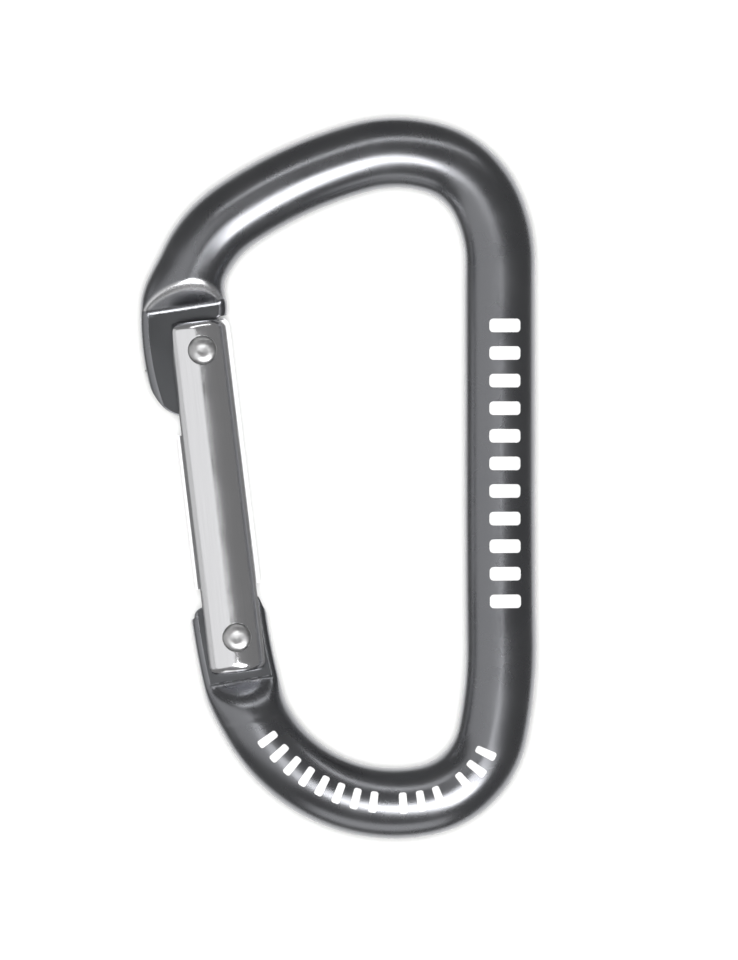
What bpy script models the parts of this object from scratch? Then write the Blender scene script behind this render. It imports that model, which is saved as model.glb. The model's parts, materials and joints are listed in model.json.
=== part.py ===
"""A plain spring-gate accessory carabiner, lying flat on its side.

The frame is one round aluminium bar, bent into a D and pressed flat at both ends. The pressed
ends are tongues that sit in two slots of the gate. A rivet through the lower tongue is the
hinge. A second rivet crosses the gate's upper slot and rests in a hooked notch in the nose.
A coil spring and a plunger in the gate's bore push on a cam edge of the hinge tongue.

World axes: +Z through the thickness, +Y along the spine towards the wide end, +X from the
gate to the spine. The origin is under the middle of the object, on the face it lies on.
Gate axes: the origin is on the hinge pin, +Y runs to the latch pin and +X points inwards.
"""

import math

import bmesh
import bpy
from mathutils import Matrix, Vector

MM = 0.001

# The bar and the line it is bent along. Each bend is (radius, angle in degrees).
BAR_D = 7.8 * MM
SPINE_X = 17.92 * MM
MIDDLE_Y = -0.09 * MM
SPINE_ABOVE = 24.0 * MM
SPINE_BELOW = 18.0 * MM
SPINE_LEAN = 0.7
UPPER_BENDS = [
    (15.3 * MM, 25.5),
    (9.4 * MM, 47.0),
    (14.6 * MM, 32.7),
    (46.7 * MM, 18.9),
    (13.1 * MM, 53.2),
]
LOWER_BENDS = [
    (48.4 * MM, 12.2),
    (9.5 * MM, 67.2),
    (17.4 * MM, 85.5),
    (21.0 * MM, 2.0),
]
NOSE_TONGUE_BEND = (25.0 * MM, 26.0)
HINGE_TONGUE_BEND = (70.0 * MM, 8.0)

# The pressed ends.
TONGUE_THICKNESS = 3.0 * MM
SHOULDER_SLOPE = 45.0
NOSE_SPREAD = 0.9 * MM
HINGE_SPREAD = 0.3 * MM
SPREAD_RUN = 5.0 * MM
NOSE_TIP_ROUND = 4.0 * MM
NOSE_TIP_CENTRE = 3.18 * MM
NOSE_FLANK_ROUND = 7.1 * MM
NOSE_FLANK_ANGLE = 32.6
HINGE_TIP_CORNER = 1.2 * MM

# The pins, measured from the middle of each shoulder line.
PIN_TO_SHOULDER = 5.05 * MM
HINGE_PIN_INSET = 0.25 * MM
LATCH_PIN_INSET = 1.3 * MM
PIN_D = 2.4 * MM
RIVET_HEAD_RIM = 0.4 * MM
RIVET_HEAD_H = 0.5 * MM
RIVET_DIMPLE = 0.15 * MM

# The gate.
GATE_D = 7.2 * MM
GATE_BACKSET = 0.3 * MM
GATE_CORNER = 0.9 * MM
NOSE_SLOT_BACK_WALL = 0.9 * MM
EAR_RELIEF = 0.6 * MM
SPOTFACE_DEPTH = 0.4 * MM

# The notch in the nose, measured from the latch pin.
HOOK_DEPTH = 0.45 * MM
HOOK_LENGTH = 0.7 * MM

# The spring, its plunger and the cam edge of the hinge tongue.
CAM_RADIUS = 3.8 * MM
CAM_LIFT_PER_RADIAN = 2.3 * MM
CAM_ANGLE = 34.0
BORE_D = 3.6 * MM
BORE_END_WALL = 3.4 * MM
PLUNGER_BODY = 5.2 * MM
PLUNGER_DOME = 1.0 * MM
PLUNGER_TAIL = 2.6 * MM
SPRING_WIRE = 0.5 * MM
SPRING_TURNS = 8

# Clearances.
SLOT_CLEARANCE = 0.25 * MM
PIN_CLEARANCE = 0.1 * MM
NOTCH_CLEARANCE = 0.35 * MM
SEAT_GAP = 0.1 * MM
CAM_GAP = 0.35 * MM
SPRING_GAP = 0.15 * MM
INNER_EDGE_GAP = 0.4 * MM
STEP_GAP = 0.2 * MM
NOSE_SLOT_SPARE = 1.92 * MM
HINGE_SLOT_SPARE = 0.6 * MM
HINGE_EAR_GAP = 1.15 * MM
NOSE_EAR_GAP = 1.75 * MM
PLUNGER_CLEARANCE = 0.2 * MM
SPRING_CLEARANCE = 0.25 * MM
TAIL_CLEARANCE = 0.3 * MM

# How finely round shapes are divided.
BAR_SIDES = 28
DEGREES_PER_RING = 6.0
PIN_SIDES = 24
GATE_SIDES = 36
ARC_STEPS = 8

BAR_R = BAR_D / 2
TONGUE_HALF = TONGUE_THICKNESS / 2
SLOT_HALF = TONGUE_HALF + SLOT_CLEARANCE
GATE_R = GATE_D / 2
PIN_R = PIN_D / 2
HOLE_R = PIN_R + PIN_CLEARANCE
NOTCH_R = PIN_R + NOTCH_CLEARANCE
HEAD_R = PIN_R + RIVET_HEAD_RIM
GATE_PAST_HINGE = PIN_TO_SHOULDER - HINGE_EAR_GAP
GATE_PAST_LATCH = PIN_TO_SHOULDER - NOSE_EAR_GAP
SPOTFACE_Z = GATE_R - SPOTFACE_DEPTH
CAM_TOP_RADIUS = CAM_RADIUS + CAM_LIFT_PER_RADIAN * math.radians(CAM_ANGLE)
HINGE_SLOT_ABOVE_PIN = CAM_TOP_RADIUS + HINGE_SLOT_SPARE
NOSE_SLOT_BELOW_PIN = NOSE_TIP_CENTRE + NOSE_TIP_ROUND + NOSE_SLOT_SPARE
PLUNGER_R = BORE_D / 2 - PLUNGER_CLEARANCE
SPRING_R = BORE_D / 2 - SPRING_CLEARANCE - SPRING_WIRE / 2
TAIL_R = SPRING_R - SPRING_WIRE / 2 - TAIL_CLEARANCE
CUT_PAST = 2.0 * MM


def clear_scene():
    for thing in list(bpy.data.objects):
        bpy.data.objects.remove(thing, do_unlink=True)


def material(name, colour, metallic, roughness):
    made = bpy.data.materials.new(name)
    made.use_nodes = True
    shader = made.node_tree.nodes["Principled BSDF"]
    shader.inputs["Base Color"].default_value = (*colour, 1.0)
    shader.inputs["Metallic"].default_value = metallic
    shader.inputs["Roughness"].default_value = roughness
    return made


def object_from(bm, name, mat=None, parent=None):
    """The finished mesh as an object; one with no material is a cutter."""
    bmesh.ops.recalc_face_normals(bm, faces=bm.faces)
    mesh = bpy.data.meshes.new(name)
    bm.to_mesh(mesh)
    bm.free()
    made = bpy.data.objects.new(name, mesh)
    bpy.context.collection.objects.link(made)
    made.parent = parent
    if mat:
        mesh.materials.append(mat)
        mesh.shade_smooth()
        mesh.set_sharp_from_angle(angle=math.radians(35))
    else:
        made.hide_render = True
        made.display_type = "WIRE"
    return made


def subtract(target, cutter):
    cut = target.modifiers.new(cutter.name, "BOOLEAN")
    cut.operation = "DIFFERENCE"
    cut.object = cutter


# The bar's centreline ----------------------------------------------------------------


def bend_line(start, heading, pieces):
    """Points and headings along straight lines (None, length) and arcs (radius, degrees).

    A positive angle turns left and a negative one turns right.
    """
    stations = [(Vector(start), heading)]
    place = Vector(start)
    for radius, amount in pieces:
        if radius is None:
            place = place + amount * Vector((math.cos(heading), math.sin(heading)))
            stations.append((place, heading))
            continue
        turn = math.radians(amount)
        side = math.copysign(radius, turn)
        centre = place + side * Vector((-math.sin(heading), math.cos(heading)))
        steps = max(2, math.ceil(abs(amount) / DEGREES_PER_RING))
        for step in range(1, steps + 1):
            angle = heading + turn * step / steps
            spoke = side * Vector((math.sin(angle), -math.cos(angle)))
            stations.append((centre + spoke, angle))
        heading += turn
        place = stations[-1][0]
    return stations


def turned(bends, direction):
    return [(radius, direction * angle) for radius, angle in bends]


def upper_line():
    """From the middle of the spine to the nose shoulder."""
    straight = [(None, SPINE_ABOVE)]
    return bend_line((SPINE_X, MIDDLE_Y), math.radians(90), straight + turned(UPPER_BENDS, 1))


def lower_line():
    """From the middle of the spine to the hinge shoulder, with the spine's slight lean first."""
    lean = [(SPINE_BELOW / math.radians(SPINE_LEAN), SPINE_LEAN)]
    return bend_line((SPINE_X, MIDDLE_Y), math.radians(270), lean + turned(LOWER_BENDS, -1))


UPPER = upper_line()
LOWER = lower_line()
NOSE_SHOULDER = UPPER[-1][0]
HINGE_SHOULDER = LOWER[-1][0]

# The two shoulder lines are square to the line that joins their middles.
CHORD = (NOSE_SHOULDER - HINGE_SHOULDER).normalized()
INWARD = Vector((CHORD.y, -CHORD.x))
HINGE_PIN = HINGE_SHOULDER + PIN_TO_SHOULDER * CHORD + HINGE_PIN_INSET * INWARD
LATCH_PIN = NOSE_SHOULDER - PIN_TO_SHOULDER * CHORD + LATCH_PIN_INSET * INWARD
PIN_SPAN = (LATCH_PIN - HINGE_PIN).length
GATE_TILT = math.atan2(HINGE_PIN.x - LATCH_PIN.x, LATCH_PIN.y - HINGE_PIN.y)
GATE_TOP = PIN_SPAN + GATE_PAST_LATCH
NOSE_SLOT_FOOT = PIN_SPAN - NOSE_SLOT_BELOW_PIN
BORE_END = NOSE_SLOT_FOOT - BORE_END_WALL
INNER_EDGE = GATE_R - GATE_BACKSET - NOSE_SLOT_BACK_WALL - INNER_EDGE_GAP


def empty(name, place, angle):
    """An empty at the mid-thickness of the bar, turned about Z."""
    made = bpy.data.objects.new(name, None)
    made.location = (place.x, place.y, BAR_R)
    made.rotation_euler = (0, 0, angle)
    bpy.context.collection.objects.link(made)
    return made


# Shapes shared by several pieces -----------------------------------------------------


def arc(centre, radius, start, end, steps=ARC_STEPS):
    """Points on an arc about centre, between two angles in degrees."""
    angles = [math.radians(start + (end - start) * i / steps) for i in range(steps + 1)]
    return [(centre[0] + radius * math.cos(a), centre[1] + radius * math.sin(a)) for a in angles]


def add_prism(bm, outline, low, high, axes=None):
    """The outline, given in the first two axes, pulled along the third from low to high."""
    axes = axes or Matrix.Identity(4)
    face = bm.faces.new([bm.verts.new(axes @ Vector((x, y, low))) for x, y in outline])
    grown = bmesh.ops.extrude_face_region(bm, geom=[face])
    moved = [part for part in grown["geom"] if isinstance(part, bmesh.types.BMVert)]
    shift = axes.to_3x3() @ Vector((0, 0, high - low))
    bmesh.ops.translate(bm, verts=moved, vec=shift)


def prism_cutter(name, outline, parent, half=BAR_R + CUT_PAST):
    bm = bmesh.new()
    add_prism(bm, outline, -half, half)
    return object_from(bm, name, parent=parent)


def box_outline(left, right, bottom, top):
    return [(left, bottom), (right, bottom), (right, top), (left, top)]


def add_turned(bm, profile, sides, axes=None):
    """A full turn of an (radius, height) profile whose two ends are on the axis."""
    points = [bm.verts.new((radius, 0, height)) for radius, height in profile]
    edges = [bm.edges.new(pair) for pair in zip(points, points[1:])]
    bmesh.ops.spin(
        bm,
        geom=points + edges,
        cent=(0, 0, 0),
        axis=(0, 0, 1),
        angle=math.tau,
        steps=sides,
        use_merge=True,
        use_duplicate=False,
    )
    bmesh.ops.remove_doubles(bm, verts=bm.verts, dist=1e-7)
    if axes:
        bmesh.ops.transform(bm, matrix=axes, verts=bm.verts)


# Frame -------------------------------------------------------------------------------


def half_width(run_to_end, spread):
    """Half the bar's width across the D: pressing spreads it close to its end."""
    share = min(1.0, max(0.0, 1.0 - run_to_end / SPREAD_RUN))
    return BAR_R + spread * share * share * (3 - 2 * share)


def runs_to_end(stations):
    """The distance along the line from each station to the last one."""
    left = [0.0]
    for (a, _), (b, _) in zip(stations[::-1], stations[-2::-1]):
        left.append(left[-1] + (a - b).length)
    return left[::-1]


def bar_half(stations, tongue_bend, spread):
    """Stations of half the bar with their half widths, tongue included."""
    widths = [half_width(run, spread) for run in runs_to_end(stations)]
    place, heading = stations[-1]
    tongue = bend_line(place, heading, [tongue_bend])[1:]
    rings = [(*station, width) for station, width in zip(stations, widths)]
    return rings + [(*station, BAR_R + spread) for station in tongue]


def add_bar(bm):
    """Elliptical rings from the nose to the hinge, bridged one to the next."""
    radius, angle = HINGE_TONGUE_BEND
    nose_half = bar_half(UPPER, NOSE_TONGUE_BEND, NOSE_SPREAD)
    hinge_half = bar_half(LOWER, (radius, -angle), HINGE_SPREAD)
    back = [(place, heading + math.pi, width) for place, heading, width in nose_half[:0:-1]]
    rings = back + hinge_half
    last = None
    for number, (place, heading, width) in enumerate(rings):
        turn = Matrix.Rotation(heading - math.pi / 2, 4, "Z") @ Matrix.Rotation(math.pi / 2, 4, "X")
        size = Matrix.Diagonal((width, BAR_R, 1, 1))
        at_end = number in (0, len(rings) - 1)
        ring = bmesh.ops.create_circle(
            bm,
            segments=BAR_SIDES,
            radius=1,
            cap_ends=at_end,
            matrix=Matrix.Translation(place.to_3d()) @ turn @ size,
        )["verts"]
        edges = list({edge for vert in ring for edge in vert.link_edges})
        if last:
            bmesh.ops.bridge_loops(bm, edges=last + edges)
        last = edges


def press_cutter():
    """Four wedges that take each end down to its tongue, with a sloped shoulder."""
    bm = bmesh.new()
    rise = BAR_R + CUT_PAST - TONGUE_HALF
    run = rise / math.tan(math.radians(SHOULDER_SLOPE))
    reach = 18 * MM
    across = 9 * MM
    for shoulder, way in ((NOSE_SHOULDER, 1), (HINGE_SHOULDER, -1)):
        for side in (1, -1):
            axes = Matrix.Translation(shoulder.to_3d()) @ Matrix(
                (
                    (CHORD.x, 0, INWARD.x, 0),
                    (CHORD.y, 0, INWARD.y, 0),
                    (0, 1, 0, 0),
                    (0, 0, 0, 1),
                )
            )
            wedge = [
                (0, side * TONGUE_HALF),
                (way * run, side * (TONGUE_HALF + rise)),
                (-way * reach, side * (TONGUE_HALF + rise)),
                (-way * reach, side * TONGUE_HALF),
            ]
            add_prism(bm, wedge, -across, across, axes)
    cutter = object_from(bm, "cut_press")
    cutter.location.z = BAR_R
    return cutter


def tip_cutter(gate_axes):
    """All that is past the nose's tip: a flatter outer flank that runs into a round end."""
    centre = (INNER_EDGE - NOSE_TIP_ROUND, PIN_SPAN - NOSE_TIP_CENTRE)
    shift = NOSE_FLANK_ROUND - NOSE_TIP_ROUND
    lean = math.radians(NOSE_FLANK_ANGLE)
    flank = (centre[0] + shift * math.cos(lean), centre[1] + shift * math.sin(lean))
    rim = arc(flank, NOSE_FLANK_ROUND, 180, 180 + NOSE_FLANK_ANGLE)[:-1]
    rim += arc(centre, NOSE_TIP_ROUND, 180 + NOSE_FLANK_ANGLE, 360, 2 * ARC_STEPS)
    far = 12 * MM
    low = centre[1] - far
    corners = [(far, centre[1]), (far, low), (-far, low), (-far, flank[1])]
    return prism_cutter("cut_tip", rim + corners, gate_axes)


def inner_edge_cutter(gate_axes):
    """The step that keeps the nose clear of the back wall of the gate's slot."""
    top = GATE_TOP + STEP_GAP
    corner = INNER_EDGE_GAP
    bottom = PIN_SPAN - NOSE_TIP_CENTRE - CUT_PAST
    far = 9 * MM
    rounding = arc((INNER_EDGE + corner, top - corner), corner, 180, 90, 4)
    outline = [(INNER_EDGE, bottom)] + rounding + [(far, top), (far, bottom)]
    return prism_cutter("cut_inner_edge", outline, gate_axes)


def notch_cutter(gate_axes):
    """The notch that takes the latch pin: open inwards, with a hooked lower lip."""
    mouth = INNER_EDGE + CUT_PAST
    lip = PIN_SPAN - NOTCH_R
    floor = lip - HOOK_DEPTH
    outline = [(mouth, PIN_SPAN + NOTCH_R)]
    outline += arc((0, PIN_SPAN), NOTCH_R, 90, 180)
    outline += arc((0, PIN_SPAN - HOOK_DEPTH), NOTCH_R, 180, 270)
    outline += [(HOOK_LENGTH, floor), (HOOK_LENGTH + HOOK_DEPTH, lip), (mouth, lip)]
    return prism_cutter("cut_notch", outline, gate_axes)


def cam_edge():
    """The hinge tongue's top edge: a spiral that lifts the plunger as the gate opens."""
    points = []
    for step in range(ARC_STEPS + 1):
        turn = math.radians(CAM_ANGLE) * step / ARC_STEPS
        radius = CAM_RADIUS + CAM_LIFT_PER_RADIAN * turn
        points.append((radius * math.sin(turn), radius * math.cos(turn)))
    return points


def cam_cutter(gate_axes):
    """All that is past the hinge tongue's rounded corner and its cam edge."""
    far = 9 * MM
    left = -(BAR_R + HINGE_SPREAD + HINGE_PIN_INSET)
    corner = (left + HINGE_TIP_CORNER, CAM_RADIUS - HINGE_TIP_CORNER)
    start = [(-far, corner[1])]
    rim = arc(corner, HINGE_TIP_CORNER, 180, 90)
    outline = start + rim + cam_edge() + [(BAR_R, CAM_RADIUS - 2 * HINGE_TIP_CORNER)]
    outline += [(far, CAM_RADIUS - 2 * HINGE_TIP_CORNER), (far, far), (-far, far)]
    return prism_cutter("cut_cam", outline, gate_axes)


def hinge_hole_cutter(gate_axes):
    return prism_cutter("cut_hinge_hole", arc((0, 0), HOLE_R, 0, 345, PIN_SIDES - 1), gate_axes)


def build_frame(gate_axes):
    bm = bmesh.new()
    add_bar(bm)
    grey = material("anodised_grey", (0.085, 0.086, 0.09), 0.9, 0.35)
    frame = object_from(bm, "frame", grey)
    frame.location.z = BAR_R
    subtract(frame, press_cutter())
    for cutter in (tip_cutter, inner_edge_cutter, notch_cutter, cam_cutter, hinge_hole_cutter):
        subtract(frame, cutter(gate_axes))
    return frame


# Gate --------------------------------------------------------------------------------


def along_gate(place):
    """Axes whose third axis runs up the gate's own centreline."""
    return Matrix.Translation((-GATE_BACKSET, place, 0)) @ Matrix.Rotation(-math.pi / 2, 4, "X")


def gate_profile():
    """Half the outline of the round bar with its rounded ends, bottom to top."""
    length = GATE_TOP + GATE_PAST_HINGE
    low = arc((GATE_R - GATE_CORNER, GATE_CORNER), GATE_CORNER, -90, 0, 4)
    high = arc((GATE_R - GATE_CORNER, length - GATE_CORNER), GATE_CORNER, 0, 90, 4)
    return [(0, 0)] + low + high + [(0, length)]


def nose_slot_cutter(gate_axes):
    """Open at the top and on the outer side, closed by a wall on the inner side."""
    inner = GATE_R - GATE_BACKSET - NOSE_SLOT_BACK_WALL
    outline = box_outline(-9 * MM, inner, NOSE_SLOT_FOOT, GATE_TOP + CUT_PAST)
    return prism_cutter("cut_nose_slot", outline, gate_axes, SLOT_HALF)


def hinge_slot_cutter(gate_axes):
    """Open at the bottom and on both sides."""
    outline = box_outline(-9 * MM, 9 * MM, -GATE_PAST_HINGE - CUT_PAST, HINGE_SLOT_ABOVE_PIN)
    return prism_cutter("cut_hinge_slot", outline, gate_axes, SLOT_HALF)


def ear_relief_cutter(gate_axes):
    """A slanted cut that narrows the two upper ears towards their ends."""
    slot_rim = -GATE_BACKSET - math.sqrt(GATE_R**2 - SLOT_HALF**2)
    head = GATE_TOP + CUT_PAST
    outline = [(slot_rim - EAR_RELIEF, NOSE_SLOT_FOOT), (slot_rim + EAR_RELIEF, head)]
    outline += [(-9 * MM, head), (-9 * MM, NOSE_SLOT_FOOT)]
    return prism_cutter("cut_ear_relief", outline, gate_axes)


def bore_cutter(gate_axes):
    """The spring's bore, drilled up from the hinge slot."""
    bm = bmesh.new()
    start = HINGE_SLOT_ABOVE_PIN - CUT_PAST / 2
    depth = BORE_END - start
    r = BORE_D / 2
    add_turned(bm, [(0, 0), (r, 0), (r, depth), (0, depth)], PIN_SIDES, along_gate(start))
    return object_from(bm, "cut_bore", parent=gate_axes)


def rivet_hole_cutter(gate_axes):
    """Both cross holes, with a flat spot on each side for the rivet heads."""
    bm = bmesh.new()
    seat = HEAD_R + SEAT_GAP
    high = BAR_R + CUT_PAST
    for place in (0, PIN_SPAN):
        half = bmesh.new()
        profile = [(0, -high), (seat, -high), (seat, -SPOTFACE_Z), (HOLE_R, -SPOTFACE_Z)]
        profile += [(HOLE_R, SPOTFACE_Z), (seat, SPOTFACE_Z), (seat, high), (0, high)]
        add_turned(half, profile, PIN_SIDES, Matrix.Translation((0, place, 0)))
        mesh = bpy.data.meshes.new("rivet_hole")
        half.to_mesh(mesh)
        half.free()
        bm.from_mesh(mesh)
        bpy.data.meshes.remove(mesh)
    return object_from(bm, "cut_rivet_holes", parent=gate_axes)


def build_gate(gate_axes):
    bm = bmesh.new()
    add_turned(bm, gate_profile(), GATE_SIDES, along_gate(-GATE_PAST_HINGE))
    bright = material("polished_aluminium", (0.78, 0.78, 0.8), 1.0, 0.2)
    gate = object_from(bm, "gate", bright, gate_axes)
    cutters = (nose_slot_cutter, hinge_slot_cutter, ear_relief_cutter, bore_cutter, rivet_hole_cutter)
    for cutter in cutters:
        subtract(gate, cutter(gate_axes))
    return gate


# Rivets, plunger and spring ----------------------------------------------------------


def rivet_profile():
    """A shank with a domed, slightly dimpled head at both ends, bottom to top."""
    seat = SPOTFACE_Z + SEAT_GAP
    top = seat + RIVET_HEAD_H
    upper = [
        (PIN_R, seat),
        (HEAD_R, seat),
        (HEAD_R * 0.94, seat + RIVET_HEAD_H * 0.5),
        (HEAD_R * 0.7, seat + RIVET_HEAD_H * 0.9),
        (HEAD_R * 0.4, top),
        (HEAD_R * 0.2, top - RIVET_DIMPLE * 0.8),
        (0, top - RIVET_DIMPLE),
    ]
    lower = [(radius, -height) for radius, height in upper[::-1]]
    return lower + upper


def build_rivet(name, place, steel, gate_axes):
    bm = bmesh.new()
    add_turned(bm, rivet_profile(), PIN_SIDES)
    rivet = object_from(bm, name, steel, gate_axes)
    rivet.location.y = place
    return rivet


PLUNGER_TIP = CAM_RADIUS + CAM_GAP
SPRING_FOOT = PLUNGER_TIP + PLUNGER_BODY + SPRING_GAP
SPRING_LENGTH = BORE_END - SPRING_GAP - SPRING_FOOT


def build_plunger(steel, gate_axes):
    """A short pin with a domed tip and a thin tail that centres the spring."""
    ball = (PLUNGER_R**2 + PLUNGER_DOME**2) / (2 * PLUNGER_DOME)
    half_angle = math.degrees(math.asin(PLUNGER_R / ball))
    tail_top = PLUNGER_BODY + PLUNGER_TAIL
    profile = arc((0, ball), ball, -90, half_angle - 90, 5)
    profile += [(PLUNGER_R, PLUNGER_BODY), (TAIL_R, PLUNGER_BODY), (TAIL_R, tail_top), (0, tail_top)]
    bm = bmesh.new()
    add_turned(bm, profile, PIN_SIDES, Matrix.Rotation(-math.pi / 2, 4, "X"))
    plunger = object_from(bm, "plunger", steel, gate_axes)
    plunger.location = (-GATE_BACKSET, PLUNGER_TIP, 0)
    return plunger


def build_spring(steel, gate_axes):
    """A round-wire helix between the plunger's body and the end of the bore."""
    rise = SPRING_LENGTH - SPRING_WIRE
    steps_per_turn = 16
    count = SPRING_TURNS * steps_per_turn
    curve = bpy.data.curves.new("gate_spring", "CURVE")
    curve.dimensions = "3D"
    curve.bevel_depth = SPRING_WIRE / 2
    curve.bevel_resolution = 1
    curve.use_fill_caps = True
    line = curve.splines.new("POLY")
    line.points.add(count)
    for step, point in enumerate(line.points):
        angle = math.tau * step / steps_per_turn
        height = SPRING_WIRE / 2 + rise * step / count
        point.co = (SPRING_R * math.cos(angle), height, SPRING_R * math.sin(angle), 1)
    curve.materials.append(steel)
    spring = bpy.data.objects.new("gate_spring", curve)
    bpy.context.collection.objects.link(spring)
    spring.parent = gate_axes
    spring.location = (-GATE_BACKSET, SPRING_FOOT, 0)
    return spring


def main():
    clear_scene()
    gate_axes = empty("gate_pivot", HINGE_PIN, GATE_TILT)
    steel = material("steel", (0.6, 0.6, 0.6), 1.0, 0.3)
    build_frame(gate_axes)
    build_gate(gate_axes)
    build_rivet("hinge_rivet", 0, steel, gate_axes)
    build_rivet("latch_rivet", PIN_SPAN, steel, gate_axes)
    build_plunger(steel, gate_axes)
    build_spring(steel, gate_axes)


main()
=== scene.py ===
"""The finish of a plain spring-gate accessory carabiner: an add-on that is run as a script.

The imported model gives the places. The buttons build the surfaces that show: the bent and
pressed bar, the slotted gate, two rivets, the plunger, the spring and two rows of plain
printed strokes. World axes are the model's: +Z up, +Y along the spine, +X from the gate to
the spine. Gate axes start on the hinge pin, with +Y towards the latch pin and +X inwards.
"""

import json
import math

import bmesh
import bpy
from mathutils import Matrix, Vector


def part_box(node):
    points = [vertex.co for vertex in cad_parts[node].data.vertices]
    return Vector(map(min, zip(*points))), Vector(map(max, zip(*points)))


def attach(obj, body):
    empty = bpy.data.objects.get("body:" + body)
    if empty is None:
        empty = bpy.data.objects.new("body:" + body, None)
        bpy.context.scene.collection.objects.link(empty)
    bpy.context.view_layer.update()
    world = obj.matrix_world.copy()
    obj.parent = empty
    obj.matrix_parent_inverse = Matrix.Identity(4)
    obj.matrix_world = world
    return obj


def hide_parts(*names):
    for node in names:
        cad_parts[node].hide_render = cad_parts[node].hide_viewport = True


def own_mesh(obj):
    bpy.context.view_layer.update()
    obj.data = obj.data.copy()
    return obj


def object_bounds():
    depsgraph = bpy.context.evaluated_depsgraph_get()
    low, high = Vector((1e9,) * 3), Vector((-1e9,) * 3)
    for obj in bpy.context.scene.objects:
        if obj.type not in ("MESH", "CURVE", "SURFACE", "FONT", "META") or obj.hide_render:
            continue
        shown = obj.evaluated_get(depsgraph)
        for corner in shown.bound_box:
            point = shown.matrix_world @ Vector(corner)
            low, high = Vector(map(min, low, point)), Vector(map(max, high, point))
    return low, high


bl_info = {
    "name": "Spring-gate carabiner finish",
    "version": (1, 0, 0),
    "blender": (4, 5, 0),
    "location": "3D Viewport > Sidebar > Carabiner",
    "description": "Builds the visible surfaces of a riveted spring-gate carabiner",
    "category": "Add Mesh",
}

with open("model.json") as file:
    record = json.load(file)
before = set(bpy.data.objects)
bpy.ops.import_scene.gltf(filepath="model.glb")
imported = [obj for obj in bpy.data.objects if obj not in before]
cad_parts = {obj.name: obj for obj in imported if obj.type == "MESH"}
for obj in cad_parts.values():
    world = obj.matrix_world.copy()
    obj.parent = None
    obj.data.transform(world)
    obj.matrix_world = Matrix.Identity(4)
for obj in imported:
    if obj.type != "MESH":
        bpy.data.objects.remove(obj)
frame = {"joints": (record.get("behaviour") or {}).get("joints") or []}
CAD_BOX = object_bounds()
JOINTS = {joint["name"]: joint for joint in frame["joints"]}
UP = Vector((0, 0, 1))
MM = 0.001

# The bar. Each bend of its centreline is (radius, degrees, distance between rings), and the
# radii and angles are the model's.
BAR_D = 7.8 * MM
SPINE_X = 17.92 * MM
MIDDLE_Y = -0.09 * MM
SPINE_ABOVE = 24.0 * MM
SPINE_BELOW = 18.0 * MM
SPINE_LEAN = 0.7
WIDE = 0.7 * MM
CLOSE = 0.13 * MM
UPPER_BENDS = [
    (15.3 * MM, 25.5, WIDE),
    (9.4 * MM, 47.0, WIDE),
    (14.6 * MM, 32.7, WIDE),
    (46.7 * MM, 18.9, WIDE),
    (13.1 * MM, 33.2, WIDE),
    (13.1 * MM, 20.0, CLOSE),
]
LOWER_BENDS = [
    (48.4 * MM, 12.2, WIDE),
    (9.5 * MM, 67.2, WIDE),
    (17.4 * MM, 70.5, WIDE),
    (17.4 * MM, 15.0, CLOSE),
    (21.0 * MM, 2.0, CLOSE),
]
NOSE_TONGUE_BENDS = [(25.0 * MM, 2.0, CLOSE), (25.0 * MM, 24.0, 0.4 * MM)]
HINGE_TONGUE_BENDS = [(70.0 * MM, -1.0, CLOSE), (70.0 * MM, -7.0, 0.4 * MM)]

# The pressed ends.
TONGUE_THICKNESS = 3.0 * MM
NOSE_SPREAD = 0.9 * MM
HINGE_SPREAD = 0.3 * MM
SPREAD_RUN = 5.0 * MM
NOSE_TIP_ROUND = 4.0 * MM
NOSE_TIP_CENTRE = 3.18 * MM
NOSE_FLANK_ROUND = 7.1 * MM
NOSE_FLANK_ANGLE = 32.6
HINGE_TIP_CORNER = 1.2 * MM
HINGE_PIN_INSET = 0.25 * MM
HOOK_DEPTH = 0.45 * MM
HOOK_LENGTH = 0.7 * MM
CAM_RADIUS = 3.8 * MM
CAM_LIFT_PER_RADIAN = 2.3 * MM
CAM_ANGLE = 34.0

# The gate and what it holds.
GATE_D = 7.2 * MM
GATE_BACKSET = 0.3 * MM
GATE_CORNER_IN = 0.8 * MM
GATE_CORNER_ALONG = 1.15 * MM
GATE_PAST_HINGE = 3.9 * MM
GATE_PAST_LATCH = 3.3 * MM
SLOT_WIDTH = 3.5 * MM
NOSE_SLOT_BACK_WALL = 0.9 * MM
NOSE_SLOT_BELOW_PIN = 9.1 * MM
EAR_RELIEF = 0.6 * MM
HINGE_SLOT_ABOVE_PIN = 5.765 * MM
BORE_D = 3.6 * MM
BORE_END_WALL = 3.4 * MM
PIN_D = 2.4 * MM
RIVET_HEAD_R = 1.6 * MM
RIVET_HEAD_H = 0.5 * MM
SPOTFACE_Z = 3.2 * MM
SEAT_GAP = 0.03 * MM
INNER_EDGE_GAP = 0.4 * MM
STEP_GAP = 0.2 * MM
PIN_CLEARANCE = 0.1 * MM
NOTCH_CLEARANCE = 0.35 * MM
CUT_PAST = 2.0 * MM

# How far the press tools reach from a shoulder: down the tongue, up the bar and to either side.
PRESS_DOWN = 18 * MM
PRESS_UP = 5 * MM
PRESS_ASIDE = 9 * MM
# Up the bar from a shoulder: where the nose's painted highlight starts, where the hinge's softer
# blend is reached, and the part of the hinge shoulder that is smoothed, as many times as the passes
# say.
HIGHLIGHT_FROM = 0.2 * MM
HINGE_BLEND_RUN = 0.8 * MM
SOFT_RUN = (0.15 * MM, 4.5 * MM)
SOFT_REACH = 7 * MM
SOFT_PASSES = 20
# How level a face is: the height of its unit normal. From here up it is one of the pressed faces.
LEVEL = 0.9995

# The spring, as heights along the gate.
SPRING_FOOT = 9.5 * MM
SPRING_TOP = 19.43 * MM
SPRING_R = 1.3 * MM

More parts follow.
